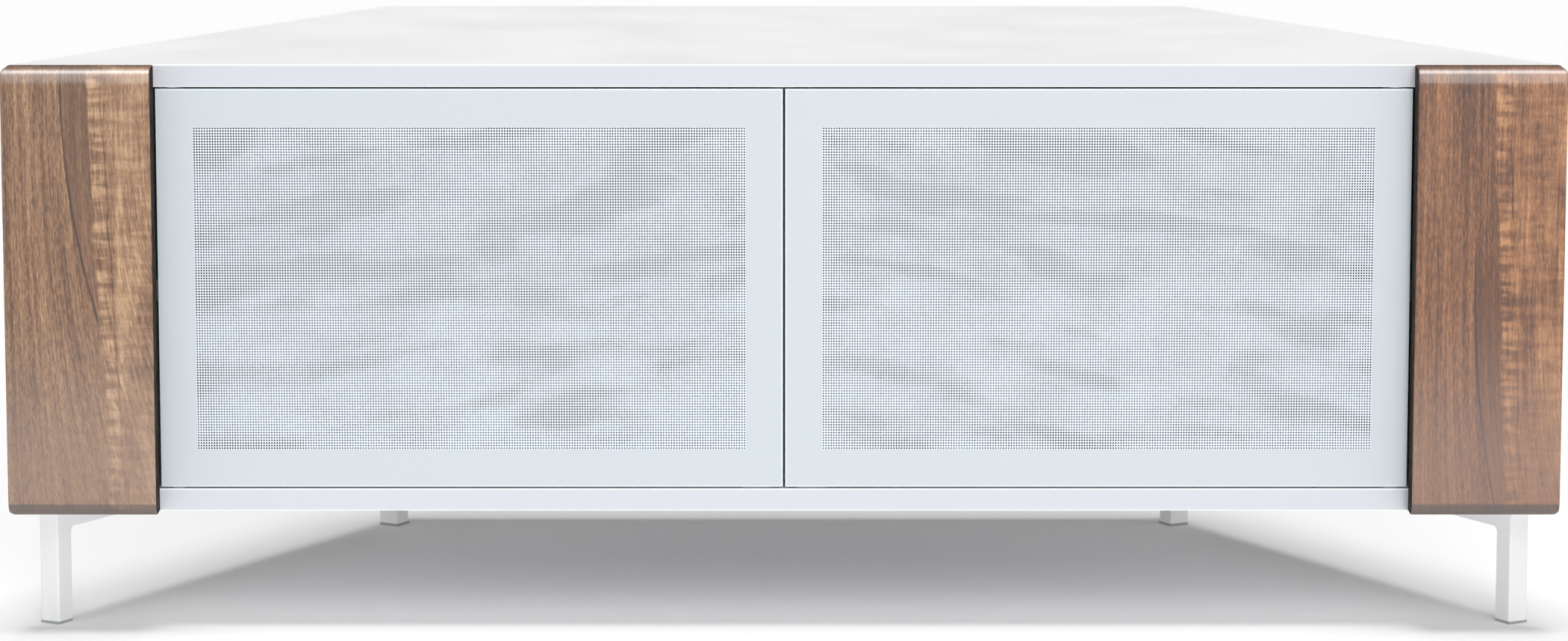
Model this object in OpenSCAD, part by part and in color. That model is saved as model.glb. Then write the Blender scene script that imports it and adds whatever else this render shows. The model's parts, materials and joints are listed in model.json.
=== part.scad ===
// Corner media cabinet, in millimetres.
// A white board body with slanted sides stands on two steel leg frames. Wood profiles cover
// its front corners, and two printed glass doors turn on pivots between the boards.
// +X is the viewer's right, the front faces -Y and +Z is up. The origin is on the floor,
// under the middle of the overall box.

/* [Body] */
// Overall width, across the wood profiles
width = 1100; // [1080:1:1200]
// Overall depth, from the faces of the wood profiles to the back
depth = 450; // [440:1:480]
// Overall height, from the floor to the top
height = 405; // [395:1:430]
// Height of the body's underside above the floor
leg_h = 85; // [80:1:95]
// Width across the back edge
rear_w = 620; // [610:1:660]
// How far the boards' front corners stay inside the wood profiles
corner_inset = 4; // [2:1:6]
// Thickness of every board
board_t = 16; // [16:1:18]
// Thickness of the back panels
back_t = 4; // [3:1:4]

/* [Wood profiles] */
// Width of a wood profile
profile_w = 105; // [100:1:110]
// Thickness of a wood profile, front to back
profile_t = 25; // [22:1:28]
// Radius along its front top and bottom edges
profile_edge_r = 11; // [8:1:14]
// Radius of its outer corners, seen from the front
profile_corner_r = 5; // [2:1:8]

/* [Doors] */
// Thickness of the glass
glass_t = 5; // [4:1:6]
// Gap above and below a door
door_gap = 1.2; // [1:0.1:2]
// Gap between the two doors
centre_gap = 1.6; // [1:0.1:3]
// Gap between a door's outer edge and the wood profile
side_gap = 1; // [1:0.1:2]
// Distance from a door's outer edge to its pivot
pivot_inset = 12; // [11:1:13]
// Distance from the glass's front to the pivot
pivot_back = 8; // [8:0.5:9]
// Diameter of the pivot pins
pin_d = 4; // [3:0.5:5]

/* [Shelves] */
// Height of the shelves' underside above the floor
shelf_z = 230; // [220:1:250]
// How far the shelves' front edge stands behind the boards' front edge
shelf_setback = 40; // [30:1:60]
// Gap behind the shelves, where cables pass
shelf_rear_gap = 31; // [25:1:45]

/* [Cable outlets] */
// Diameter of the hole in each back panel
outlet_d = 60; // [50:1:70]
// Distance of each outlet from the middle of the cabinet
outlet_x = 150; // [120:1:200]
// Height of the outlets' middle above the floor
outlet_z = 165; // [150:1:175]

/* [Leg frames] */
// Outside size of the square tube
tube = 16; // [15:1:18]
// Wall thickness of the tube
tube_wall = 1.5; // [1.2:0.1:2]
// Angle of each leg frame from the cabinet's front
frame_angle = 60; // [59:0.5:61]
// Length of a leg frame over both legs
frame_len = 451; // [440:1:455]
// Distance of the front legs' inner front corner from the middle
leg_x = 520; // [515:1:522]
// Distance of that corner behind the boards' front edge
leg_setback = 10; // [8:1:20]
// Height of the plastic glides under the legs
glide_h = 2; // [2:1:4]

/* [Push latches] */
// Distance of each latch from the middle of the cabinet
latch_x = 18; // [18:1:20]
// Height of a latch housing
latch_h = 12; // [12:1:14]
// Length of a latch housing, front to back
latch_len = 40; // [38:1:44]

/* [Hidden] */
$fn = 48;

// Colours
white = "#eef0f4";
walnut = "#8a6246";
glass_white = "#dbe5ec";
steel = "#b8bcc2";
dark_steel = "#6f747a";
plastic_white = "#e6e8ea";
plastic_grey = "#9ba0a4";
plastic_black = "#2b2c2e";
beech = "#d9b98a";

// Clearance round a fixed fastener or plug, and how far a cut runs past a face
play = 0.1;
cut = 1;

// Planes of the body
front_y = -depth / 2 + profile_t;
rear_y = depth / 2;
back_y = rear_y - back_t;
in_z0 = leg_h + board_t;
in_z1 = height - board_t;
in_h = in_z1 - in_z0;
mid_z = (in_z0 + in_z1) / 2;

// The slanted sides, seen from above
front_half = width / 2 - corner_inset;
rear_half = rear_w / 2;
side_angle = atan2(rear_y - front_y, rear_half - front_half);
function outer_x(y) = front_half + (rear_half - front_half) * (y - front_y) / (rear_y - front_y);
function inner_x(y) = outer_x(y) - board_t / sin(side_angle);
function side_s(y) = (y - front_y) / sin(side_angle);

// Stiles and divider
stile_x = width / 2 - profile_w + 5;
divider_y = front_y + shelf_setback;

// Doors
door_x0 = centre_gap / 2;
door_x1 = width / 2 - profile_w - side_gap;
glass_back_y = front_y + glass_t;
pivot_x = door_x1 - pivot_inset;
pivot_y = front_y + pivot_back;
door_z0 = in_z0 + door_gap;
hinge_block = [18, 6, 21];
bush_d = 8;
bush_len = 10;
bush_flange_d = 12;
bush_flange_t = 0.8;
bush_wall = 1;
running_play = 0.05;

// Shelf pins, on three rows of holes a standard pitch apart
shelf_pin_d = 5;
shelf_pin_in = 7;
shelf_pin_out = 8;
shelf_pin_y = [-110, 140];
shelf_pin_pitch = 32;
shelf_pin_z = shelf_z - shelf_pin_d / 2 - running_play;
shelf_side_gap = 1;

// Knock-down fittings
cam_d = 15;
cam_depth = 12.5;
cam_rise = 34;
cam_cover_d = 17;
cam_cover_t = 0.8;
bolt_d = 6;
bolt_in_board = 11;
dowel_d = 8;
dowel_in_board = 10;
dowel_in_panel = 20;
side_cams = [60, 420];
side_dowels = [100, 380];
divider_cams = [-110, 170];
divider_dowels = [-60, 120];
stile_dowels = [475, 505];

// Screws: [shank diameter, shank length, head diameter, head height]
profile_screw = [4, 28, 8, 2.5];
back_screw = [3, 16, 5.6, 1.5];
latch_screw = [3.5, 13, 7, 2];
stop_screw = [3.5, 14, 6.8, 2.5];
leg_screw = [5, 13.5, 9, 2.5];
profile_screw_x = [470, 500];
profile_screw_z = [130, 360];
back_screw_z = [125, mid_z, 365];
back_screw_x = [4, rear_half - 4];

// Push latch
latch_w = 14;
latch_front_y = front_y + 14;
latch_bore_depth = latch_len - 4;
latch_z = in_z1 - latch_h / 2;
ear = [10, 10, 3];
ear_y = [latch_front_y + 6, latch_front_y + 24];
plunger_d = 8;
strike = [16, 1, 12];
strike_back_y = glass_back_y + strike[1];
magnet_t = 2;
magnet_y = strike_back_y + 0.3;
plunger_y = magnet_y + magnet_t;
plunger_len = 27;

// Latch spring
spring_d = 6.4;
spring_wire = 0.8;
spring_turns = 5;
spring_steps = 14;
spring_sides = 6;
spring_y0 = plunger_y + plunger_len + 0.5;
spring_y1 = latch_front_y + latch_bore_depth - 0.5;

// Door stop
stop = [20, 12, 8];
stop_y = front_y + 6.5;
bumper_d = 6;
bumper_t = 1;

// Leg frames
leg_y = front_y + leg_setback;
weld_r = 4;
plug_len = 10;
leg_screw_s = [70, frame_len / 2, frame_len - 70];
leg_screw_access_d = 10.5;

// ---- Placing ----

module mirrored() {
    mirror([1, 0, 0]) children();
}

module both_sides() {
    children();
    mirrored() children();
}

// The same thing at the top of the opening as at the bottom
module flipped() {
    translate([0, 0, 2 * mid_z]) mirror([0, 0, 1]) children();
}

module both_ends() {
    children();
    flipped() children();
}

// Local +X runs back along the right side's outer face, and +Y points into the cabinet
module at_side(s) {
    translate([front_half, front_y, 0]) rotate([0, 0, side_angle]) translate([s, 0, 0]) children();
}

// Local +Y runs through the divider, from its left face to its right face
module at_divider(y) {
    translate([-board_t / 2, y, 0]) rotate([0, 0, -90]) children();
}

// Local +X runs back along the right leg frame's inner face, and -Y points outwards
module at_frame(s = 0) {
    translate([leg_x, leg_y, 0]) rotate([0, 0, 180 - frame_angle]) translate([s, 0, 0]) children();
}

// A cylinder along +Y, from y = 0
module along_y(d, h) {
    rotate([-90, 0, 0]) cylinder(d = d, h = h);
}

// Every place of a cam fitting and of a dowel, in the upright panel's local frame
module each_cam() {
    both_sides() for (s = side_cams) at_side(s) children();
    for (y = divider_cams) at_divider(y) children();
}

module each_dowel() {
    both_sides() {
        for (s = side_dowels) at_side(s) children();
        for (x = stile_dowels) translate([x, front_y, 0]) children();
    }
    for (y = divider_dowels) at_divider(y) children();
}

// ---- Shared shapes ----

// The boards' outline: a trapezoid, wide at the front
module plan() {
    polygon([
        [-front_half, front_y], [front_half, front_y],
        [rear_half, rear_y], [-rear_half, rear_y]
    ]);
}

// A screw with its head's top at z = 0 and its shank pointing down
module screw(s) {
    translate([0, 0, -s[3]]) cylinder(d = s[2], h = s[3]);
    translate([0, 0, -s[3] - s[1]]) cylinder(d = s[0], h = s[1]);
}

// Upright hole for a cam's bolt, through the panel's end and up to the cam
module bolt_hole() {
    translate([0, board_t / 2, in_z0 - cut]) cylinder(d = bolt_d + 1, h = cam_rise + cut);
}

module cam_hole() {
    translate([0, board_t - cam_depth, in_z0 + cam_rise]) along_y(cam_d + play, cam_depth + cut);
}

module dowel_hole(up, down) {
    translate([0, board_t / 2, in_z0 - down]) cylinder(d = dowel_d + play, h = up + down);
}

// What the bottom board loses from above, and the top board from below
module board_sockets() {
    each_cam() translate([0, board_t / 2, in_z0 - bolt_in_board - play])
        cylinder(d = bolt_d + play, h = bolt_in_board + cut);
    each_dowel() dowel_hole(cut, dowel_in_board + play);
    both_sides() translate([pivot_x, pivot_y, in_z0 - bush_len])
        cylinder(d = bush_d + play, h = bush_len + cut);
}

// ---- Body ----

module top_board() {
    color(white) difference() {
        translate([0, 0, in_z1]) linear_extrude(board_t) plan();
        flipped() board_sockets();
        both_sides() latch_screw_places() cylinder(d = latch_screw[0] + play, h = latch_screw[1]);
    }
}

module bottom_board() {
    color(white) difference() {
        translate([0, 0, leg_h]) linear_extrude(board_t) plan();
        board_sockets();
        both_sides() {
            at_leg_screws() translate([0, 0, leg_h - cut])
                cylinder(d = leg_screw[0] + play, h = leg_screw[1] + cut);
            stop_screw_place() translate([0, 0, in_z0 - 10]) cylinder(d = stop_screw[0] + play, h = 12);
        }
    }
}

// The right side panel
module side_panel() {
    color(white) difference() {
        translate([0, 0, in_z0]) linear_extrude(in_h) polygon([
            [outer_x(front_y), front_y], [outer_x(back_y), back_y],
            [inner_x(back_y), back_y], [inner_x(front_y), front_y]
        ]);
        both_ends() {
            for (s = side_cams) at_side(s) {
                cam_hole();
                bolt_hole();
            }
            for (s = side_dowels) at_side(s) dowel_hole(dowel_in_panel + play, cut);
        }
        for (y = shelf_pin_y) at_side(side_s(y)) shelf_pin_holes(board_t - shelf_pin_in);
        back_screw_pilots(back_screw_x[1]);
    }
}

// The right front stile, which fills the corner behind the wood profile
module front_stile() {
    stile_back = front_y + board_t;
    color(white) difference() {
        translate([0, 0, in_z0]) linear_extrude(in_h) polygon([
            [stile_x, front_y], [inner_x(front_y), front_y],
            [inner_x(stile_back), stile_back], [stile_x, stile_back]
        ]);
        both_ends() for (x = stile_dowels) translate([x, front_y, 0])
            dowel_hole(dowel_in_panel + play, cut);
        at_profile_screws() translate([0, -cut, 0]) along_y(profile_screw[0] + play, board_t + 2 * cut);
    }
}

module centre_divider() {
    color(white) difference() {
        translate([-board_t / 2, divider_y, in_z0]) cube([board_t, back_y - divider_y, in_h]);
        both_ends() {
            for (y = divider_cams) at_divider(y) {
                cam_hole();
                bolt_hole();
            }
            for (y = divider_dowels) at_divider(y) dowel_hole(dowel_in_panel + play, cut);
        }
        for (y = shelf_pin_y) at_divider(y) {
            shelf_pin_holes(board_t - shelf_pin_in);
            shelf_pin_holes(-cut);
        }
        both_sides() back_screw_pilots(back_screw_x[0]);
    }
}

// ---- Back ----

// The right back panel, between the boards and over the panels' rear edges
module back_panel() {
    middle_gap = 0.5;
    color(white) difference() {
        translate([0, 0, in_z0]) linear_extrude(in_h) polygon([
            [middle_gap, back_y], [outer_x(back_y), back_y], [rear_half, rear_y], [middle_gap, rear_y]
        ]);
        translate([outlet_x, back_y - cut, outlet_z]) along_y(outlet_d, back_t + 2 * cut);
        for (x = back_screw_x, z = back_screw_z) {
            translate([x, back_y - cut, z]) along_y(back_screw[0] + play, back_t + 2 * cut);
            translate([x, rear_y - back_screw[3], z]) along_y(back_screw[2] + play, back_screw[3] + cut);
        }
    }
}

// Pilot holes in one panel's rear edge
module back_screw_pilots(x) {
    depth_in_panel = back_screw[1] - back_t + back_screw[3];
    for (z = back_screw_z) translate([x, back_y - depth_in_panel - play, z])
        along_y(back_screw[0] + play, depth_in_panel + cut);
}

module back_panel_screws() {
    color(steel) both_sides() for (x = back_screw_x, z = back_screw_z)
        translate([x, rear_y, z]) rotate([-90, 0, 0]) screw(back_screw);
}

// A plastic ring that lines the right back panel's outlet, with its flange inside
module cable_grommet() {
    wall = 3;
    flange_w = 4;
    flange_t = 1.5;
    color(plastic_white) translate([outlet_x, back_y, outlet_z]) difference() {
        union() {
            translate([0, -flange_t, 0]) along_y(outlet_d + 2 * flange_w, flange_t);
            along_y(outlet_d - 2 * play, back_t);
        }
        translate([0, -flange_t - cut, 0]) along_y(outlet_d - 2 * wall, flange_t + back_t + 2 * cut);
    }
}

// ---- Shelves ----

// The right shelf
module shelf() {
    rear = back_y - shelf_rear_gap;
    inner = board_t / 2 + shelf_side_gap;
    color(white) translate([0, 0, shelf_z]) linear_extrude(board_t) polygon([
        [inner, divider_y], [inner_x(divider_y) - shelf_side_gap, divider_y],
        [inner_x(rear) - shelf_side_gap, rear], [inner, rear]
    ]);
}

// One column of pin holes, from local y = y0
module shelf_pin_holes(y0) {
    for (k = [-1:1]) translate([0, y0, shelf_pin_z + k * shelf_pin_pitch])
        along_y(shelf_pin_d + play, shelf_pin_in + cut);
}

module shelf_pins() {
    pin_len = shelf_pin_in + shelf_pin_out;
    color(steel) both_sides() for (y = shelf_pin_y) {
        at_side(side_s(y)) translate([0, board_t - shelf_pin_in, shelf_pin_z])
            along_y(shelf_pin_d, pin_len);
        at_divider(y) translate([0, board_t - shelf_pin_in, shelf_pin_z])
            along_y(shelf_pin_d, pin_len);
    }
}

// ---- Knock-down fittings ----

// A cam with a radial bore that takes the bolt's end
module cam_lock() {
    color(steel) difference() {
        translate([0, board_t - cam_depth, in_z0 + cam_rise]) along_y(cam_d, cam_depth);
        translate([0, board_t / 2, in_z0 + cam_rise - cam_d]) cylinder(d = bolt_d + 1, h = cam_d);
    }
}

module cam_locks() {
    both_ends() each_cam() cam_lock();
}

module cam_bolts() {
    color(steel) both_ends() each_cam() translate([0, board_t / 2, in_z0 - bolt_in_board])
        cylinder(d = bolt_d, h = bolt_in_board + cam_rise - 1);
}

// Thin caps over the cams, on the panels' faces
module cam_covers() {
    color(plastic_white) both_ends() each_cam() translate([0, board_t, in_z0 + cam_rise])
        along_y(cam_cover_d, cam_cover_t);
}

module dowels() {
    color(beech) both_ends() each_dowel() translate([0, board_t / 2, in_z0 - dowel_in_board])
        cylinder(d = dowel_d, h = dowel_in_board + dowel_in_panel);
}

// ---- Wood profiles ----

// Side view: the front top and bottom edges are round
module profile_section() {
    face_y = -depth / 2;
    r = profile_edge_r;
    translate([face_y + r, leg_h]) square([profile_t - r, height - leg_h]);
    translate([face_y, leg_h + r]) square([r, height - leg_h - 2 * r]);
    for (z = [leg_h + r, height - r]) translate([face_y + r, z]) circle(r = r);
}

// Front view: the outer corners are round
module profile_front() {
    r = profile_corner_r;
    x0 = width / 2 - profile_w;
    translate([x0, leg_h]) square([profile_w - r, height - leg_h]);
    translate([width / 2 - r, leg_h + r]) square([r, height - leg_h - 2 * r]);
    for (z = [leg_h + r, height - r]) translate([width / 2 - r, z]) circle(r = r);
}

// The right wood profile
module wood_profile() {
    color(walnut) difference() {
        intersection() {
            rotate([90, 0, 90]) linear_extrude(width / 2) profile_section();
            translate([0, front_y, 0]) rotate([90, 0, 0]) linear_extrude(profile_t) profile_front();
        }
        at_profile_screws() translate([0, -profile_screw[1] + board_t - play, 0])
            along_y(profile_screw[0] + play, profile_screw[1] - board_t + cut);
    }
}

module at_profile_screws() {
    for (x = profile_screw_x, z = profile_screw_z) translate([x, front_y, z]) children();
}

module profile_screws() {
    color(steel) both_sides() at_profile_screws()
        translate([0, board_t + profile_screw[3], 0]) rotate([-90, 0, 0]) screw(profile_screw);
}

// ---- Doors ----

// The right door's glass
module door_glass() {
    color(glass_white) translate([door_x0, front_y, door_z0])
        cube([door_x1 - door_x0, glass_t, in_h - 2 * door_gap]);
}

// Blocks bonded behind the right door's outer corners, with a bore for each pin
module hinge_blocks() {
    color(steel) both_ends() difference() {
        translate([pivot_x - hinge_block[0] / 2, glass_back_y, door_z0]) cube(hinge_block);
        translate([pivot_x, pivot_y, door_z0 - cut]) cylinder(d = pin_d + play, h = 12 + cut);
    }
}

// The right door's two pins, which stand out into the boards
module hinge_pins() {
    reach = bush_len - bush_wall - 0.8;
    color(dark_steel) both_ends() translate([pivot_x, pivot_y, in_z0 - reach])
        cylinder(d = pin_d, h = reach + door_gap + 12);
}

// Flanged cups in the boards, in which the pins turn
module pivot_bushes() {
    bore_d = pin_d + 2 * running_play;
    color(plastic_grey) both_sides() both_ends() translate([pivot_x, pivot_y, in_z0]) difference() {
        union() {
            translate([0, 0, -bush_len]) cylinder(d = bush_d, h = bush_len);
            cylinder(d = bush_flange_d, h = bush_flange_t);
        }
        translate([0, 0, bush_wall - bush_len]) cylinder(d = bore_d, h = bush_len + bush_flange_t);
    }
}

// The right door's strike plate, bonded behind its printed border
module strike_plate() {
    color(steel) translate([latch_x - strike[0] / 2, glass_back_y, latch_z - strike[2] / 2 - 2])
        cube(strike);
}

// ---- Push latches ----

// The right latch's housing, with two screw ears on its outer side
module latch_housing() {
    color(plastic_black) difference() {
        union() {
            translate([latch_x - latch_w / 2, latch_front_y, in_z1 - latch_h])
                cube([latch_w, latch_len, latch_h]);
            for (y = ear_y) translate([latch_x + latch_w / 2, y, in_z1 - ear[2]]) cube(ear);
        }
        translate([latch_x, latch_front_y - cut, latch_z])
            along_y(plunger_d + 2 * running_play, latch_bore_depth + cut);
        latch_screw_places() translate([0, 0, -cut])
            cylinder(d = latch_screw[0] + play, h = ear[2] + 2 * cut);
    }
}

// The underside of the right latch's ears
module latch_screw_places() {
    for (y = ear_y) translate([latch_x + latch_w / 2 + ear[0] / 2, y + ear[1] / 2, in_z1 - ear[2]])
        children();
}

module latch_plunger() {
    color(plastic_grey) translate([latch_x, plunger_y, latch_z]) along_y(plunger_d, plunger_len);
}

module latch_magnet() {
    color(dark_steel) translate([latch_x, magnet_y, latch_z]) along_y(plunger_d, magnet_t);
}

// Point b of the wire's section at step i along the coil, which runs along +Y
function spring_point(i, b) =
    let (
        turn = 360 * i / spring_steps,
        r = spring_d / 2 - spring_wire / 2 + spring_wire / 2 * cos(b),
        y = (spring_y1 - spring_y0) * i / (spring_turns * spring_steps)
    )
    [r * cos(turn), y + spring_wire / 2 * sin(b), r * sin(turn)];

module latch_spring() {
    rings = spring_turns * spring_steps;
    n = spring_sides;
    points = [for (i = [0:rings], k = [0:n - 1]) spring_point(i, 360 * k / n)];
    sides = [
        for (i = [0:rings - 1], k = [0:n - 1])
            [i * n + k, i * n + (k + 1) % n, (i + 1) * n + (k + 1) % n, (i + 1) * n + k]
    ];
    first = [for (k = [n - 1:-1:0]) k];
    last = [for (k = [0:n - 1]) rings * n + k];
    color(steel) translate([latch_x, spring_y0, latch_z])
        polyhedron(points = points, faces = concat(sides, [first, last]));
}

// ---- Door stops ----

module stop_screw_place() {
    translate([latch_x + 2, stop_y + stop[1] / 2, 0]) children();
}

module door_stops() {
    color(plastic_white) both_sides() difference() {
        translate([latch_x + 2 - stop[0] / 2, stop_y, in_z0]) cube(stop);
        stop_screw_place() translate([0, 0, in_z0 - cut])
            cylinder(d = stop_screw[0] + play, h = stop[2] + 2 * cut);
        stop_screw_place() translate([0, 0, in_z0 + stop[2] - stop_screw[3]])
            cylinder(d = stop_screw[2] + play, h = stop_screw[3] + cut);
    }
}

module stop_bumpers() {
    color(plastic_grey) both_sides() translate([latch_x + 2, stop_y - bumper_t, in_z0 + stop[2] / 2])
        along_y(bumper_d, bumper_t);
}

module fitting_screws() {
    color(steel) both_sides() {
        latch_screw_places() mirror([0, 0, 1]) translate([0, 0, latch_screw[3]]) screw(latch_screw);
        stop_screw_place() translate([0, 0, in_z0 + stop[2]]) screw(stop_screw);
    }
}

// ---- Leg frames ----

// A square tube of length len along +Z, with its outer side towards -Y
module upright_tube(len) {
    inner = tube - 2 * tube_wall;
    difference() {
        translate([0, -tube, 0]) cube([tube, tube, len]);
        translate([tube_wall, tube_wall - tube, -cut]) cube([inner, inner, len + 2 * cut]);
    }
}

// A leg of the right frame, from s along it
module leg(s) {
    color(white) at_frame(s) translate([0, 0, glide_h]) upright_tube(leg_h - glide_h);
}

// The round fillet in the corner between a leg and the rail
module weld_fillet() {
    rotate([90, 0, 0]) linear_extrude(tube) difference() {
        translate([0, -weld_r]) square(weld_r);
        translate([weld_r, -weld_r]) circle(r = weld_r);
    }
}

// The right frame's rail, under the bottom board
module leg_rail() {
    inner = tube - 2 * tube_wall;
    rail_z = leg_h - tube;
    color(white) difference() {
        at_frame() {
            translate([tube, -tube, rail_z]) cube([frame_len - 2 * tube, tube, tube]);
            translate([tube, 0, rail_z]) weld_fillet();
            translate([frame_len - tube, 0, rail_z]) mirrored() weld_fillet();
        }
        at_frame() translate([tube - cut, tube_wall - tube, rail_z + tube_wall])
            cube([frame_len - 2 * tube + 2 * cut, inner, inner]);
        at_leg_screws() {
            translate([0, 0, leg_h - tube_wall - cut])
                cylinder(d = leg_screw[0] + 4 * play, h = tube_wall + 2 * cut);
            translate([0, 0, rail_z - cut]) cylinder(d = leg_screw_access_d, h = tube_wall + 2 * cut);
        }
    }
}

module at_leg_screws() {
    for (s = leg_screw_s) at_frame(s) translate([0, -tube / 2, 0]) children();
}

// Screws from inside the rails up into the bottom board
module leg_screws() {
    color(steel) both_sides() at_leg_screws()
        translate([0, 0, leg_h - tube_wall - leg_screw[3]]) mirror([0, 0, 1]) screw(leg_screw);
}

// A pad under each leg, with a plug inside the tube
module foot_glides() {
    plug = tube - 2 * tube_wall - 2 * play;
    color(plastic_grey) both_sides() for (s = [0, frame_len - tube]) at_frame(s) {
        translate([0, -tube, 0]) cube([tube, tube, glide_h]);
        translate([tube_wall + play, tube_wall + play - tube, glide_h]) cube([plug, plug, plug_len]);
    }
}

top_board();
bottom_board();
mirrored() side_panel();  // side_panel_left
side_panel();  // side_panel_right
mirrored() front_stile();  // front_stile_left
front_stile();  // front_stile_right
centre_divider();
mirrored() back_panel();  // back_panel_left
back_panel();  // back_panel_right
mirrored() cable_grommet();  // cable_grommet_left
cable_grommet();  // cable_grommet_right
mirrored() shelf();  // shelf_left
shelf();  // shelf_right
shelf_pins();
mirrored() wood_profile();  // wood_profile_left
wood_profile();  // wood_profile_right
profile_screws();
mirrored() door_glass();  // door_glass_left
door_glass();  // door_glass_right
mirrored() hinge_blocks();  // hinge_blocks_left
hinge_blocks();  // hinge_blocks_right
mirrored() hinge_pins();  // hinge_pins_left
hinge_pins();  // hinge_pins_right
pivot_bushes();
mirrored() strike_plate();  // strike_plate_left
strike_plate();  // strike_plate_right
mirrored() latch_housing();  // latch_housing_left
latch_housing();  // latch_housing_right
mirrored() latch_plunger();  // latch_plunger_left
latch_plunger();  // latch_plunger_right
mirrored() latch_magnet();  // latch_magnet_left
latch_magnet();  // latch_magnet_right
mirrored() latch_spring();  // latch_spring_left
latch_spring();  // latch_spring_right
door_stops();
stop_bumpers();
fitting_screws();
mirrored() leg(0);  // leg_front_left
leg(0);  // leg_front_right
mirrored() leg(frame_len - tube);  // leg_rear_left
leg(frame_len - tube);  // leg_rear_right
mirrored() leg_rail();  // leg_rail_left
leg_rail();  // leg_rail_right
foot_glides();
leg_screws();
cam_locks();
cam_bolts();
cam_covers();
dowels();
back_panel_screws();
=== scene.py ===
"""The looks of the corner media cabinet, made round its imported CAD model.

Everything is in metres, in the CAD's frame, unless it says otherwise."""

import json
import math

import bmesh
import bpy
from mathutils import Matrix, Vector, noise

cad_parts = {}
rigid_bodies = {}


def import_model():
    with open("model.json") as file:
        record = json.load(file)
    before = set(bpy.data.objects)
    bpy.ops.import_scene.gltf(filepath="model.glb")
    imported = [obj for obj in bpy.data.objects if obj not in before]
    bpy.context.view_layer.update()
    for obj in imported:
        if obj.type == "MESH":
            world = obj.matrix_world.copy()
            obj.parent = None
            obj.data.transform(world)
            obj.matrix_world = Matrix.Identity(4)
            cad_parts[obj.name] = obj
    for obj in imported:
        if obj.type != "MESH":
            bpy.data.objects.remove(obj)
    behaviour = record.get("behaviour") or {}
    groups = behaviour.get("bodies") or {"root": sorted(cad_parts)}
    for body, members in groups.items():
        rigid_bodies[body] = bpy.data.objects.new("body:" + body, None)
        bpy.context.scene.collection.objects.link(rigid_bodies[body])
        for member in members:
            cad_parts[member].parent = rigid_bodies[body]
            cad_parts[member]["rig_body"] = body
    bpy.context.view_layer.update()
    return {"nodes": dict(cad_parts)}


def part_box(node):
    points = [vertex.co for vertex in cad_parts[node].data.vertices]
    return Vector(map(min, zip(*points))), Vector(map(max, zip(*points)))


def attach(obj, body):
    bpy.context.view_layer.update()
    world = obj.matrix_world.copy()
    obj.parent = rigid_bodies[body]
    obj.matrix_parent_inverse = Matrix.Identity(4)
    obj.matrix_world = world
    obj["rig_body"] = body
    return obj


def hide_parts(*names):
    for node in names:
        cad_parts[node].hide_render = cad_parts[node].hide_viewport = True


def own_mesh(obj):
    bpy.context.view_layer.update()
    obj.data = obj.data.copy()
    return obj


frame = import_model()
nodes = frame["nodes"]

MM = 0.001
SIDES = ("left", "right")


# ---- Camera, light and floor ----

CAMERA_PLACE = (0, -4.225, 0.839)
CAMERA_PITCH = 8.71  # degrees below level
CAMERA_LENS = 131.7  # millimetres
CAMERA_REACH = 100


def make_camera():
    data = bpy.data.cameras.new("camera")
    data.lens = CAMERA_LENS
    data.clip_end = CAMERA_REACH
    camera = bpy.data.objects.new("camera", data)
    camera.location = CAMERA_PLACE
    camera.rotation_euler = (math.radians(90 - CAMERA_PITCH), 0, 0)
    bpy.context.scene.collection.objects.link(camera)
    bpy.context.scene.camera = camera


WORLD_LEVEL = 0.26
WORLD_TILT = 0.12
SUNS = (  # name, elevation, azimuth, spread, strength
    ("overhead", 88, 0, 24, 1.97),
    ("high_front", 48, 8, 34, 0.36),
    ("front", 28, 8, 34, 0.56),
    ("low_front", 5, 6, 12, 0.70),
)
FLOOR_HALF = 20
FLOOR_COLOR = (0.95, 0.95, 0.955)


def make_world():
    """Even white light, brighter in front than behind."""
    world = bpy.data.worlds.new("studio")
    world.use_nodes = True
    tree = world.node_tree
    place = tree.nodes.new("ShaderNodeTexCoord")
    split = tree.nodes.new("ShaderNodeSeparateXYZ")
    level = tree.nodes.new("ShaderNodeMath")
    level.operation = "MULTIPLY_ADD"
    level.inputs[1].default_value = -WORLD_TILT
    level.inputs[2].default_value = WORLD_LEVEL
    tree.links.new(place.outputs["Generated"], split.inputs["Vector"])
    tree.links.new(split.outputs["Y"], level.inputs[0])
    background = tree.nodes["Background"]
    background.inputs["Color"].default_value = (1, 1, 1, 1)
    tree.links.new(level.outputs["Value"], background.inputs["Strength"])
    bpy.context.scene.world = world


def make_sun(name, elevation, azimuth, spread, strength):
    """A far softbox. Azimuth 0 is straight in front and 90 is on the right, and spread is how wide it looks.

    The angles are in degrees."""
    data = bpy.data.lights.new(name, "SUN")
    data.angle = math.radians(spread)
    data.energy = strength
    sun = bpy.data.objects.new(name, data)
    e, a = math.radians(elevation), math.radians(azimuth)
    towards = Vector((math.sin(a) * math.cos(e), -math.cos(a) * math.cos(e), math.sin(e)))
    sun.rotation_euler = towards.to_track_quat("Z", "Y").to_euler()
    bpy.context.scene.collection.objects.link(sun)


def make_floor():
    bm = bmesh.new()
    signs = ((-1, -1), (1, -1), (1, 1), (-1, 1))
    bm.faces.new([bm.verts.new((FLOOR_HALF * x, FLOOR_HALF * y, 0)) for x, y in signs])
    floor = object_from("studio_floor", bm)
    paint(floor, Shader("studio_floor", color=FLOOR_COLOR, roughness=0.9).done())


def make_studio():
    make_world()
    for sun in SUNS:
        make_sun(*sun)
    make_floor()
    settings = bpy.context.scene.view_settings
    settings.view_transform = "Standard"
    settings.look = "None"


# ---- Meshes ----

JOIN = 1e-6
SHARP = math.radians(30)
FLAT = math.radians(0.3)
LONG_EDGE = 12 * MM


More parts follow.
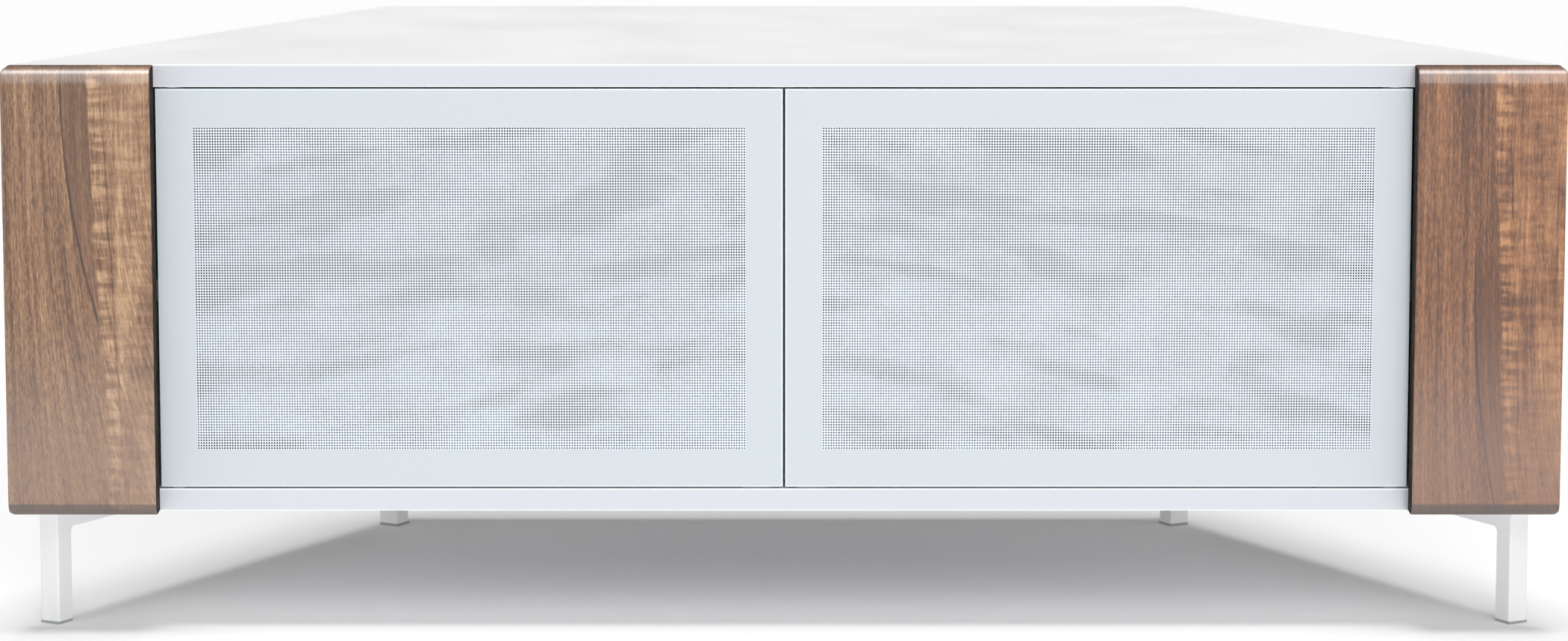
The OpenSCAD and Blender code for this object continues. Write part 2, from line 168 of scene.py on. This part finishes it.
def object_from(name, bm):
    """A new object from a bmesh, smooth across every edge that isn't sharp."""
    mesh = bpy.data.meshes.new(name)
    bm.normal_update()
    bm.to_mesh(mesh)
    bm.free()
    mesh.shade_smooth()
    mesh.set_sharp_from_angle(angle=SHARP)
    obj = bpy.data.objects.new(name, mesh)
    bpy.context.scene.collection.objects.link(obj)
    even = obj.modifiers.new("even_shading", "WEIGHTED_NORMAL")
    even.keep_sharp = True
    even.weight = 100
    return obj


def paint(obj, *materials):
    """Gives a new piece its materials, slot by slot. Its faces keep their slot numbers."""
    for material in materials:
        obj.data.materials.append(material)


def repaint(node, material):
    """Gives every slot of a CAD node a better material."""
    for slot in nodes[node].material_slots:
        slot.material = material


def cad_copy(node):
    """A bmesh of a CAD node's shape, with its split vertices joined and its flat faces whole."""
    bm = bmesh.new()
    bm.from_mesh(nodes[node].data)
    bmesh.ops.remove_doubles(bm, verts=bm.verts, dist=JOIN)
    bmesh.ops.dissolve_limit(bm, angle_limit=FLAT, verts=bm.verts, edges=bm.edges)
    return bm


def long_edge(edge):
    return edge.calc_length() > LONG_EDGE


def round_edges(bm, radius, wanted=long_edge):
    """Rounds the sharp edges that are wanted."""
    edges = [e for e in bm.edges if e.is_manifold and e.calc_face_angle(0) > SHARP and wanted(e)]
    bmesh.ops.bevel(bm, geom=edges, offset=radius, segments=3, profile=0.5, affect="EDGES")


def body_of(node):
    return nodes[node]["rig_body"]


def stand_in(node, bm, slot, *materials):
    """A detailed piece that replaces one CAD node, in the same place and on the same body."""
    obj = object_from(f"{node}_finish", bm)
    paint(obj, *materials)
    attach(obj, body_of(node))
    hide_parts(node)
    return obj


# ---- Material nodes ----


class Shader:
    """One Principled material and the patterns that feed it.

    Patterns read the piece's own coordinates, in metres."""

    def __init__(self, name, color=(0.8, 0.8, 0.8), roughness=0.4, metallic=0.0, coat=0.0,
                 coat_roughness=0.05, specular=0.5):
        self.material = bpy.data.materials.new(name)
        self.material.use_nodes = True
        self.tree = self.material.node_tree
        self.bsdf = self.tree.nodes["Principled BSDF"]
        self.set("Base Color", (*color, 1))
        self.set("Roughness", roughness)
        self.set("Metallic", metallic)
        self.set("Coat Weight", coat)
        self.set("Coat Roughness", coat_roughness)
        self.set("Specular IOR Level", specular)
        self._place = None

    def set(self, socket, value):
        self.bsdf.inputs[socket].default_value = value

    def feed(self, socket, output):
        self.tree.links.new(output, self.bsdf.inputs[socket])

    def node(self, kind, **inputs):
        """A node with some inputs set. An input's value is a number, a colour or another node's output."""
        made = self.tree.nodes.new(kind)
        for key, value in inputs.items():
            self.plug(made.inputs[key.replace("_", " ")], value)
        return made

    def plug(self, socket, value):
        if isinstance(value, bpy.types.NodeSocket):
            self.tree.links.new(value, socket)
        else:
            socket.default_value = value

    def place(self):
        if self._place is None:
            self._place = self.node("ShaderNodeTexCoord").outputs["Object"]
        return self._place

    def axes(self):
        split = self.node("ShaderNodeSeparateXYZ", Vector=self.place())
        return split.outputs["X"], split.outputs["Y"], split.outputs["Z"]

    def math(self, operation, a, b=0.0, c=0.0):
        made = self.tree.nodes.new("ShaderNodeMath")
        made.operation = operation
        for socket, value in zip(made.inputs, (a, b, c)):
            self.plug(socket, value)
        return made.outputs["Value"]

    def sum(self, middle, *parts):
        """middle plus each noise's distance from its own middle, times its amount."""
        total = middle - sum(amount for _, amount in parts) / 2
        for value, amount in parts:
            total = self.math("MULTIPLY_ADD", value, amount, total)
        return total

    def stretched(self, scale, shift=(0, 0, 0), source=None):
        made = self.node("ShaderNodeMapping", Vector=source or self.place())
        made.inputs["Scale"].default_value = scale
        made.inputs["Location"].default_value = shift
        return made.outputs["Vector"]

    def noise(self, scale, shift=(0, 0, 0), detail=2.0, roughness=0.5, distortion=0.0, source=None):
        """Noise whose cells measure 1 / scale metres along each axis."""
        if not isinstance(scale, tuple):
            scale = (scale, scale, scale)
        place = self.stretched(scale, shift, source)
        made = self.node("ShaderNodeTexNoise", Vector=place, Scale=1.0, Detail=detail, Roughness=roughness,
                         Distortion=distortion)
        return made.outputs["Fac"]

    def ramp(self, value, *stops):
        """Maps a number through stops of (position, colour)."""
        made = self.node("ShaderNodeValToRGB", Fac=value)
        elements = made.color_ramp.elements
        while len(elements) < len(stops):
            elements.new(0.5)
        for element, (position, shade) in zip(elements, stops):
            element.position = position
            element.color = (*shade, 1)
        return made.outputs["Color"]

    def window(self, value, low, high, to_low=0.0, to_high=1.0):
        """Goes smoothly from to_low to to_high as the value goes from low to high."""
        made = self.tree.nodes.new("ShaderNodeMapRange")
        made.interpolation_type = "SMOOTHSTEP"
        limits = {"Value": value, "From Min": low, "From Max": high, "To Min": to_low, "To Max": to_high}
        for key, number in limits.items():
            self.plug(made.inputs[key], number)
        return made.outputs["Result"]

    def mix(self, factor, a, b):
        """Goes from colour a to colour b as the factor goes from 0 to 1."""
        made = self.tree.nodes.new("ShaderNodeMix")
        made.data_type = "RGBA"
        self.plug(made.inputs[0], factor)
        self.plug(made.inputs[6], (*a, 1) if isinstance(a, tuple) else a)
        self.plug(made.inputs[7], (*b, 1) if isinstance(b, tuple) else b)
        return made.outputs[2]

    def rough(self, low, high, scale, **options):
        """Roughness that drifts between two values."""
        self.feed("Roughness", self.window(self.noise(scale, **options), 0.3, 0.7, low, high))

    def bump(self, height, distance):
        made = self.node("ShaderNodeBump", Height=height, Strength=1.0, Distance=distance)
        self.feed("Normal", made.outputs["Normal"])

    def done(self):
        return self.material


# ---- Materials ----


def gloss_white(name, color):
    """Lacquered board: a faint orange peel and a roughness that drifts a little."""
    s = Shader(name, color=color, specular=0.3)
    s.rough(0.38, 0.48, 9, detail=3)
    s.bump(s.noise(420, detail=2), 0.00002)
    return s.done()


def print_white(name, color):
    """White print behind clear glass."""
    s = Shader(name, color=color, coat=1.0, coat_roughness=0.02)
    s.rough(0.30, 0.38, 14, detail=2)
    return s.done()


def glass_edge():
    # The glass's own cyan tint, made bright white as a painted highlight along the eased edges.
    s = Shader("glass_edge_painted_highlight", color=(0.83, 0.93, 0.95), coat=1.0, coat_roughness=0.03)
    s.rough(0.15, 0.25, 60, detail=2)
    return s.done()


def dot_shades(count):
    """Clear dots in the print: each colour is painted shade, the dark inside that a dot lets through,
    darkest first.
    """
    made = []
    for i in range(count):
        light = i / (count - 1)
        shade = (0.002 + 0.12 * light ** 1.6, 0.003 + 0.135 * light ** 1.6, 0.007 + 0.17 * light ** 1.6)
        made.append(Shader(f"clear_dot_painted_shade_{i}", color=shade, roughness=0.5, specular=0.2).done())
    return made


def powder_white():
    """Powder-coated steel: a fine even texture."""
    s = Shader("powder_white", color=(0.86, 0.865, 0.87))
    s.rough(0.42, 0.55, 30, detail=3)
    s.bump(s.noise(1400, detail=2), 0.00006)
    return s.done()


# The two veneers, in mm. drift moves the border of the figure. line is the growth line: its start from the
# left side, the height of its top and its bend. plain, light and low_tone are tones; low_tone is the tone
# the wood moves to towards its bottom. seed shifts every pattern.
VENEER = {
    "left": {
        "drift": 0.0, "line": (42.0, 393.0, 0.00085),
        "plain": 0.445, "light": 0.64, "low_tone": 0.575,
        "tint": (0.98, 0.95, 0.84), "seed": 0.0,
    },
    "right": {
        "drift": -7.0, "line": (42.0, 251.0, 0.00065),
        "plain": 0.36, "light": 0.56, "low_tone": 0.51,
        "tint": (0.955, 0.71, 0.44), "seed": 3.7,
    },
}
WALNUT_TONES = (
    (0.0, (0.052, 0.023, 0.013)),
    (0.30, (0.145, 0.069, 0.038)),
    (0.62, (0.315, 0.172, 0.096)),
    (1.0, (0.56, 0.36, 0.225)),
)
PORE = (0.085, 0.048, 0.032)
PAINTED_FLOOR_REFLECTION = (0.62, 0.64, 0.66)
PAINTED_BOTTOM_SHADE = (0.15, 0.13, 0.115)
BORDER_AT = 72.6
BORDER_SLOPE = -0.041
BORDER_WANDER = 7
INNER_LINE = 11.5


def tinted(shade, tint):
    return tuple(c * t for c, t in zip(shade, tint))


class Walnut(Shader):
    """Walnut veneer: plain straight grain on its left, a paler part with cross ripples on its right, dark
    growth lines, and short open pores. The wood is paler and plainer towards its bottom, where a pale grey
    painted reflection of the floor is mixed in. The lacquer is thicker on the rounded top edge, and the
    rounded bottom edge is painted darker, painted shade.

    Its own measures are in mm, from the profile's left side and from the floor."""

    def __init__(self, side, lo, hi):
        super().__init__(f"walnut_{side}", coat_roughness=0.42, specular=0.3)
        self.set("Coat IOR", 2.2)
        self.veneer = VENEER[side]
        self.seed = self.veneer["seed"]
        x, y, z = self.axes()
        self.across = self.math("MULTIPLY_ADD", x, 1000, -lo.x * 1000)
        self.height = self.math("MULTIPLY", z, 1000)
        start, top, bend = self.veneer["line"]
        fall = self.math("SUBTRACT", top, self.height)
        self.reach = self.window(self.math("ABSOLUTE", self.math("SUBTRACT", fall, 85)), 125, 75)
        curve = self.math("MULTIPLY_ADD", self.math("MULTIPLY", fall, fall), bend, start)
        self.from_line = self.math("SUBTRACT", self.across, curve)
        self.from_border = self.math("SUBTRACT", self.across, self.border())
        self.figured = self.window(self.from_border, -1.0, 2.5)
        self.calm = self.math("MULTIPLY", self.window(self.from_line, -0.4, 0.6), self.reach)

        sway = self.math("MULTIPLY", self.window(fall, 30, 340, 0.0, 0.00045), self.across)
        moved = self.math("SUBTRACT", x, sway)
        self.swept = self.node("ShaderNodeCombineXYZ", X=moved, Y=y, Z=z).outputs["Vector"]
        self.slow = self.grain((160, 30, 3.5), 0, detail=2, roughness=0.5)
        self.streak = self.grain((620, 90, 9), 1, detail=3, roughness=0.6)
        self.fibre = self.grain((1250, 300, 190), 2, detail=3, roughness=0.6)

        tone = self.math("MULTIPLY_ADD", self.plain(), self.math("SUBTRACT", 1.0, self.figured),
                         self.math("MULTIPLY", self.light(), self.figured))
        tone = self.growth_lines(tone)
        low_tone = self.window(self.height, 230, 110, 0.0, 0.5)
        tone = self.math("MULTIPLY_ADD", self.math("SUBTRACT", self.veneer["low_tone"], tone), low_tone, tone)
        bottom = lo.z * 1000
        # Painted shade: the rounded bottom edge, which faces down, is painted darker in tone and colour.
        painted_shade_bottom = self.window(self.height, bottom + 9.6, bottom + 8.4)
        tone = self.math("MULTIPLY_ADD", painted_shade_bottom, -0.33, tone)
        self.finish(tone, painted_shade_bottom, hi.z * 1000)

    def grain(self, scale, shift, **options):
        """Noise drawn out along the grain, which leans a little towards the bottom."""
        return self.noise(scale, shift=(self.seed, shift, 0), source=self.swept, **options)

    def border(self):
        """Where the figured part begins: a wandering line that leans to the right as it goes down."""
        wander = self.noise((60, 60, 16), shift=(self.seed, 0, 5), detail=2)
        line = self.math("MULTIPLY_ADD", self.height, BORDER_SLOPE, BORDER_AT + self.veneer["drift"])
        return self.math("MULTIPLY_ADD", wander, BORDER_WANDER, line)

    def plain(self):
        """The straight grain, calmer to the right of the growth line."""
        plain = self.sum(self.veneer["plain"], (self.slow, 0.9), (self.streak, 0.85), (self.fibre, 1.15))
        calm = self.sum(self.veneer["plain"] - 0.07, (self.slow, 0.4), (self.streak, 0.5), (self.fibre, 0.6))
        share = self.math("MULTIPLY", self.calm, 0.85)
        return self.math("MULTIPLY_ADD", self.math("SUBTRACT", calm, plain), share, plain)

    def light(self):
        """The figured part, with ripples across the grain that fade away from its border."""
        ripple = self.noise((42, 36, 165), shift=(self.seed, 0, 9), detail=2, roughness=0.45,
                            distortion=0.25)
        blocks = self.window(ripple, 0.36, 0.64, -0.5, 0.5)
        near = self.window(self.from_border, 6, 16, 0.42, 0.16)
        soft = self.noise((150, 60, 20), shift=(self.seed + 2, 0, 0), detail=2)
        light = self.sum(self.veneer["light"], (soft, 0.9), (self.streak, 0.8), (self.fibre, 0.9))
        return self.math("MULTIPLY_ADD", blocks, near, light)

    def growth_lines(self, tone):
        """Darkens the tone along two lines: a bent one beside the calm part and one in the figured part."""
        line = self.math("MULTIPLY", self.window(self.from_line, -0.8, -0.1),
                         self.window(self.from_line, 1.7, 0.2))
        line = self.math("MULTIPLY", line, self.reach)
        line = self.math("MULTIPLY", line, self.math("SUBTRACT", 1.0, self.figured))
        off_inner = self.math("ABSOLUTE", self.math("SUBTRACT", self.from_border, INNER_LINE))
        inner = self.window(off_inner, 1.1, 0.2)
        tone = self.math("MULTIPLY_ADD", line, -0.42, tone)
        return self.math("MULTIPLY_ADD", inner, -0.22, tone)

    def finish(self, tone, painted_shade_bottom, top):
        """Colours the wood by its tone, then adds pores, the painted floor reflection low down, the painted
        shade on the bottom edge, lacquer and relief.
        """
        tint = self.veneer["tint"]
        color = self.ramp(tone, *((at, tinted(shade, tint)) for at, shade in WALNUT_TONES))
        pores = self.noise((1500, 400, 230), shift=(1, 3, 0), detail=2, source=self.swept)
        pores = self.window(pores, 0.58, 0.67)
        depth = self.window(self.calm, 0.0, 1.0, 0.55, 0.25)
        color = self.mix(self.math("MULTIPLY", pores, depth), color, tinted(PORE, tint))
        # Painted reflection: a pale grey veil of the floor, mixed into the lower wood.
        color = self.mix(self.window(self.height, 260, 120, 0.0, 0.11), color, PAINTED_FLOOR_REFLECTION)
        # Painted shade on the rounded bottom edge.
        color = self.mix(self.math("MULTIPLY", painted_shade_bottom, 0.45), color, PAINTED_BOTTOM_SHADE)
        self.feed("Base Color", color)
        self.feed("Roughness", self.window(tone, 0.1, 0.9, 0.52, 0.38))
        self.feed("Coat Weight", self.window(self.height, top - 13, top - 5, 0.2, 1.0))
        self.bump(self.math("MULTIPLY_ADD", tone, 0.5, self.math("MULTIPLY", pores, -1.0)), 0.00005)


def dark_edge():
    # A dark edge, made near-black so that it also carries painted shade.
    s = Shader("dark_edge_and_painted_shade", color=(0.02, 0.014, 0.01), specular=0.02)
    grain = s.noise((1200, 500, 60), detail=3)
    s.feed("Base Color", s.ramp(grain, (0.3, (0.014, 0.010, 0.008)), (0.7, (0.032, 0.022, 0.017))))
    s.rough(0.45, 0.6, 80)
    return s.done()


def brushed(name, color, roughness=0.32):
    s = Shader(name, color=color, metallic=1.0)
    s.rough(roughness - 0.06, roughness + 0.08, (900, 900, 90), detail=3)
    s.bump(s.noise((1500, 1500, 120), detail=2), 0.00001)
    return s.done()


def plated(name, color, roughness):
    s = Shader(name, color=color, metallic=1.0)
    s.rough(roughness - 0.05, roughness + 0.1, 220, detail=3)
    return s.done()


def moulded(name, color, low=0.35, high=0.48):
    s = Shader(name, color=color)
    s.rough(low, high, 120, detail=3)
    s.bump(s.noise(2200, detail=2), 0.00003)
    return s.done()


def hardboard():
    s = Shader("white_hardboard", color=(0.80, 0.81, 0.82))
    s.rough(0.45, 0.6, 20, detail=3)
    s.bump(s.noise(650, detail=4), 0.00004)
    return s.done()


def beech():
    s = Shader("beech", color=(0.62, 0.42, 0.24), roughness=0.6)
    grain = s.noise((1200, 1200, 80), detail=3)
    s.feed("Base Color", s.ramp(grain, (0.3, (0.48, 0.31, 0.17)), (0.7, (0.68, 0.48, 0.29))))
    return s.done()


# ---- Pieces ----

BOARD_EDGE_R = 0.8 * MM
TUBE_EDGE_R = 1.4 * MM
RAIL_EDGE_R = 1.0 * MM
LEG_EDGE_LENGTH = 30 * MM
GLASS_EDGE_R = 1.0 * MM
FACING = 0.99  # how nearly a flat face's normal has to point along an axis
SHADED_FRONT_FACING = 0.98
PANEL_EDGE_R = 0.5 * MM


def make_boards(white, front_shade, carcass):
    """The body's boards. On the top and bottom boards the flat front faces get a darker white, painted
    shade, and the other faces, their rounded edges too, a brighter white, painted light with painted
    highlights.
    """
    for node in ("top_board", "bottom_board"):
        bm = cad_copy(node)
        round_edges(bm, BOARD_EDGE_R)
        bm.normal_update()
        for face in bm.faces:
            # Painted shade on the flat front faces; the rounded edges take the brighter white as painted
            # highlights.
            face.material_index = 1 if face.normal.y < -SHADED_FRONT_FACING else 0
        stand_in(node, bm, "white_board", white, front_shade)
    for side in SIDES:
        for node in (f"side_panel_{side}", f"shelf_{side}"):
            bm = cad_copy(node)
            round_edges(bm, PANEL_EDGE_R)
            stand_in(node, bm, "white_board", carcass)
        repaint(f"front_stile_{side}", carcass)
    repaint("centre_divider", carcass)


PROFILE_EDGE_R = 11 * MM
PROFILE_CORNER_R = 5 * MM
PROFILE_EASE_R = 1.0 * MM
ARC_STEPS = 14
PROFILE_COLUMNS = 6
INNER_FACING = 0.9


def profile_contour(lo, hi):
    """Side view of a profile's front, from the bottom's rear to the top's rear, as (y, z) points."""
    r = PROFILE_EDGE_R
    points = [(hi.y, lo.z)]
    for k in range(ARC_STEPS + 1):
        a = math.pi / 2 * k / ARC_STEPS
        points.append((lo.y + r - r * math.sin(a), lo.z + r - r * math.cos(a)))
    for k in range(ARC_STEPS + 1):
        a = math.pi / 2 * k / ARC_STEPS
        points.append((lo.y + r - r * math.cos(a), hi.z - r + r * math.sin(a)))
    points.append((hi.y, hi.z))
    return points


def profile_reach(lo, hi, z):
    """How wide a profile is at a height, as its outer corners are round from the front."""
    r = PROFILE_CORNER_R
    into = max(lo.z + r - z, z - (hi.z - r), 0)
    return hi.x - lo.x - r + math.sqrt(max(r * r - into * into, 0))


def profile_solid(lo, hi, inner_x, sign):
    """A bmesh of a profile with square edges between its rounded front and its flat sides."""
    bm = bmesh.new()
    rows = []
    for y, z in profile_contour(lo, hi):
        reach = profile_reach(lo, hi, z)
        rows.append([bm.verts.new((inner_x + sign * reach * k / PROFILE_COLUMNS, y, z))
                     for k in range(PROFILE_COLUMNS + 1)])
    # The front, then the inner side
    for low, high in zip(rows, rows[1:]):
        for k in range(PROFILE_COLUMNS):
            bm.faces.new((low[k], low[k + 1], high[k + 1], high[k]))
    bm.faces.new([row[0] for row in rows])
    # The outer side, then the back
    rear = [rows[0][-1]]
    for row in rows[2:-2]:
        rear.append(bm.verts.new((row[-1].co.x, hi.y, row[-1].co.z)))
    rear.append(rows[-1][-1])
    bm.faces.new((rows[0][-1], rows[1][-1], rows[2][-1], rear[1]))
    for k in range(2, len(rows) - 3):
        bm.faces.new((rows[k][-1], rows[k + 1][-1], rear[k], rear[k - 1]))
    bm.faces.new((rows[-3][-1], rows[-2][-1], rows[-1][-1], rear[-2]))
    bm.faces.new(rear + list(reversed(rows[-1][:-1])) + rows[0][:-1])
    bmesh.ops.recalc_face_normals(bm, faces=bm.faces)
    return bm


def make_profile(side):
    """A wood profile: round along its front top and bottom edges and at its outer corners, its other edges
    eased, and its inner side near-black: a dark edge with the shade it stands in painted into it."""
    node = f"wood_profile_{side}"
    lo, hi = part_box(node)
    sign = 1 if side == "right" else -1
    inner_x = lo.x if side == "right" else hi.x
    bm = profile_solid(lo, hi, inner_x, sign)
    round_edges(bm, PROFILE_EASE_R, lambda edge: True)
    bm.normal_update()
    for face in bm.faces:
        face.material_index = 1 if face.normal.x * sign < -INNER_FACING else 0
    stand_in(node, bm, "walnut", Walnut(side, lo, hi).done(), dark_edge())


DOT_COLUMNS = 210
DOT_ROWS = 123
DOT_PITCH_X = 1.86 * MM
DOT_PITCH_Z = 1.88 * MM
DOT_RADIUS = 0.64 * MM
DOT_SIDES = 6
DOT_PROUD = 0.03 * MM
DOT_SHADES = 8
WISPS = {"left": (0.16, 11.3), "right": (-0.16, 47.9)}  # slant and seed
WISPS_ALONG = 11
WISPS_ACROSS = 44
SHELF_SHADE = 5 * MM  # how far above a shelf the change in the painted shade of the inside shows


def dot_lightness(x, z, shelf_top, slant, seed):
    """How light a dot's painted shade is, from 0 to 1: the shaded inside is painted darker above the shelf,
    with dark wisps and a little scatter.
    """
    along = (x + z * slant) * WISPS_ALONG
    across = (z - x * slant) * WISPS_ACROSS
    wisp = noise.noise(Vector((along + seed, across, seed)))
    wisp += 0.5 * noise.noise(Vector((along * 2.3 + seed, across * 2.3, seed + 3)))
    cloud = noise.noise(Vector((x * 30, z * 50, seed + 5)))
    scatter = noise.noise(Vector((x * 4100, z * 4100, seed + 9)))
    # Painted light: the inside seen through the dots is lighter below the shelf.
    below = 1 / (1 + math.exp((z - shelf_top) / (1.2 * MM)))
    dark = (2.2 - 1.0 * below) * max(wisp - 0.08, 0.0)
    light = 0.44 + 0.23 * below - dark + 0.25 * cloud + 0.35 * scatter
    return min(max(light, 0.0), 0.999)


def dot_field(side):
    """The dots' middles: x from left to right and z from bottom to top, centred on the door."""
    lo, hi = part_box(f"door_glass_{side}")
    centre = (lo + hi) / 2
    xs = [centre.x + (i - (DOT_COLUMNS - 1) / 2) * DOT_PITCH_X for i in range(DOT_COLUMNS)]
    zs = [centre.z + (k - (DOT_ROWS - 1) / 2) * DOT_PITCH_Z for k in range(DOT_ROWS)]
    return xs, zs, lo.y


def make_dots(side, shades):
    """Clear dots of the print: flat faces a hair in front of the white, coloured with painted shade for the
    inside seen through them. Darker dots are a little larger.
    """
    xs, zs, front = dot_field(side)
    shelf_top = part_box(f"shelf_{side}")[1].z + SHELF_SHADE
    turns = [2 * math.pi * (k + 0.5) / DOT_SIDES for k in range(DOT_SIDES)]
    ring = [(DOT_RADIUS * math.cos(a), DOT_RADIUS * math.sin(a)) for a in turns]
    slant, seed = WISPS[side]
    points = []
    shade_of = []
    for z in zs:
        for x in xs:
            light = dot_lightness(x, z, shelf_top, slant, seed)
            size = 1.06 - 0.12 * light
            points += [(x + dx * size, front - DOT_PROUD, z + dz * size) for dx, dz in ring]
            shade_of.append(int(light * DOT_SHADES))
    faces = [tuple(range(n * DOT_SIDES, (n + 1) * DOT_SIDES)) for n in range(len(shade_of))]
    name = f"door_dots_{side}"
    mesh = bpy.data.meshes.new(name)
    mesh.from_pydata(points, [], faces)
    mesh.polygons.foreach_set("material_index", shade_of)
    obj = bpy.data.objects.new(name, mesh)
    bpy.context.scene.collection.objects.link(obj)
    paint(obj, *shades)
    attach(obj, body_of(f"door_glass_{side}"))


BORDER, FIELD, BACK, EDGE = range(4)


def cut_front(bm, place, normal):
    """Cuts the front face of a door with a plane."""
    faces = [f for f in bm.faces if f.normal.y < -FACING]
    edges = list({e for f in faces for e in f.edges})
    verts = list({v for f in faces for v in f.verts})
    bmesh.ops.bisect_plane(bm, geom=faces + edges + verts, dist=JOIN, plane_co=place, plane_no=normal)


def make_door(side, border, field, back, edge_material):
    """A printed glass door: eased polished edges, the glass's cyan tint with a painted highlight, a plain
    border and the brighter field between the dots.
    """
    node = f"door_glass_{side}"
    xs, zs, _ = dot_field(side)
    margin = DOT_PITCH_X / 2
    bm = cad_copy(node)
    round_edges(bm, GLASS_EDGE_R)
    bm.normal_update()
    for face in bm.faces:
        if face.normal.y < -FACING:
            face.material_index = BORDER
        elif face.normal.y > FACING:
            face.material_index = BACK
        else:
            face.material_index = EDGE
    for x in (xs[0] - margin, xs[-1] + margin):
        cut_front(bm, (x, 0, 0), (1, 0, 0))
    for z in (zs[0] - margin, zs[-1] + margin):
        cut_front(bm, (0, 0, z), (0, 0, 1))
    for face in bm.faces:
        middle = face.calc_center_median()
        if face.normal.y < -FACING and xs[0] < middle.x < xs[-1] and zs[0] < middle.z < zs[-1]:
            face.material_index = FIELD
    door = stand_in(node, bm, "printed_glass", border, field, back, edge_material)
    for polygon in door.data.polygons:
        polygon.use_smooth = abs(polygon.normal.y) < FACING


def middle_of(node):
    lo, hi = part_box(node)
    return (lo + hi) / 2


def make_legs(powder):
    """The leg frames. A leg's two edges on the rail's side stay square, so that the rail meets it without a
    seam."""
    for side in SIDES:
        rail = f"leg_rail_{side}"
        for node in (f"leg_front_{side}", f"leg_rear_{side}"):
            middle = middle_of(node)
            inwards = (middle_of(rail) - middle).xy

            def away_from_rail(edge):
                place = (edge.verts[0].co + edge.verts[1].co) / 2
                return edge.calc_length() > LEG_EDGE_LENGTH and (place - middle).xy.dot(inwards) < 0

            bm = cad_copy(node)
            round_edges(bm, TUBE_EDGE_R, away_from_rail)
            stand_in(node, bm, "white_metal", powder)
        bm = cad_copy(rail)
        round_edges(bm, RAIL_EDGE_R, lambda edge: edge.calc_length() > LEG_EDGE_LENGTH)
        stand_in(rail, bm, "white_metal", powder)


def make_springs(steel):
    """The latch springs, each on a mesh of its own. A spring shortens towards its far end as its plunger
    goes in.
    """
    for side in SIDES:
        node = f"latch_spring_{side}"
        spring = stand_in(node, cad_copy(node), "zinc_steel", steel)
        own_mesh(spring)


def finish_fittings(zinc):
    """Better materials for the CAD nodes that stay."""
    hinge = brushed("hinge_metal", (0.56, 0.57, 0.59))
    dark = plated("dark_metal", (0.16, 0.165, 0.175), 0.32)
    white = moulded("white_plastic", (0.78, 0.79, 0.80))
    black = moulded("black_plastic", (0.025, 0.025, 0.028))
    grey = moulded("grey_plastic", (0.36, 0.37, 0.38))
    rubber = moulded("clear_rubber", (0.62, 0.64, 0.65), 0.5, 0.65)
    board = hardboard()
    wood = beech()
    chosen = {
        "back_panel_left": board, "back_panel_right": board,
        "cable_grommet_left": white, "cable_grommet_right": white,
        "shelf_pins": zinc, "profile_screws": zinc, "fitting_screws": zinc, "leg_screws": zinc,
        "cam_locks": zinc, "cam_bolts": zinc, "back_panel_screws": zinc,
        "hinge_blocks_left": hinge, "hinge_blocks_right": hinge,
        "hinge_pins_left": dark, "hinge_pins_right": dark,
        "strike_plate_left": zinc, "strike_plate_right": zinc,
        "latch_magnet_left": dark, "latch_magnet_right": dark,
        "pivot_bushes": grey, "latch_plunger_left": grey, "latch_plunger_right": grey, "foot_glides": grey,
        "latch_housing_left": black, "latch_housing_right": black, "door_stops": white, "cam_covers": white,
        "stop_bumpers": rubber, "dowels": wood,
    }
    for node, material in chosen.items():
        repaint(node, material)


def make_cabinet():
    # The boards' white is painted brighter than the lacquer is, painted light, and the darker white on their
    # flat fronts is painted shade.
    painted_lit_white = gloss_white("gloss_white", (0.965, 0.965, 0.98))
    front_shade = gloss_white("front_painted_shade_white", (0.64, 0.66, 0.70))
    carcass = gloss_white("carcass_white", (0.80, 0.81, 0.83))
    make_boards(painted_lit_white, front_shade, carcass)
    for side in SIDES:
        make_profile(side)
    border = print_white("print_border", (0.57, 0.625, 0.665))
    field = print_white("print_field", (0.745, 0.805, 0.865))
    back = print_white("print_back", (0.70, 0.72, 0.74))
    edge = glass_edge()
    dots = dot_shades(DOT_SHADES)
    for side in SIDES:
        make_door(side, border, field, back, edge)
        make_dots(side, dots)
    make_legs(powder_white())
    zinc = plated("zinc_steel", (0.62, 0.63, 0.65), 0.3)
    make_springs(zinc)
    finish_fittings(zinc)


make_camera()
make_studio()
make_cabinet()
